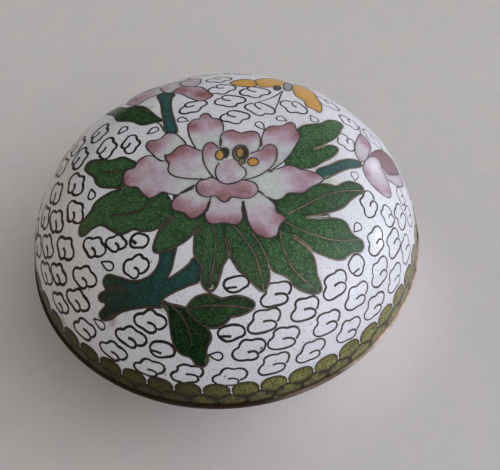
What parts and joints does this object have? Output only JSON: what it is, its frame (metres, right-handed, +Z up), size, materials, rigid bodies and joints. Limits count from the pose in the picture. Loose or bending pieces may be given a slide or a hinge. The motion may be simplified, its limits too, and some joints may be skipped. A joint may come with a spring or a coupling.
{
  "type": "cloisonne enamel box",
  "caption": "Round domed box of enamelled copper with brass rims. The lid lifts off a shallow bowl on a foot ring; peony and cloud ornament.",
  "frame": {"origin": "centre of the foot ring's underside, on the surface that the box stands on", "axes": "+Z up along the axis of the turned box; the middle of the flower spray faces -Y"},
  "size_m": [0.0762, 0.0762, 0.0395],
  "materials": {
    "white_enamel": "glossy fired enamel on copper, white ground with fine pits",
    "rim_brass": "worn, darkened brass"
  },
  "bodies": {
    "root": {"lid": "white_enamel", "lid_rim": "rim_brass", "base": "white_enamel", "base_rim": "rim_brass", "foot_ring": "rim_brass"}
  },
  "joints": []
}
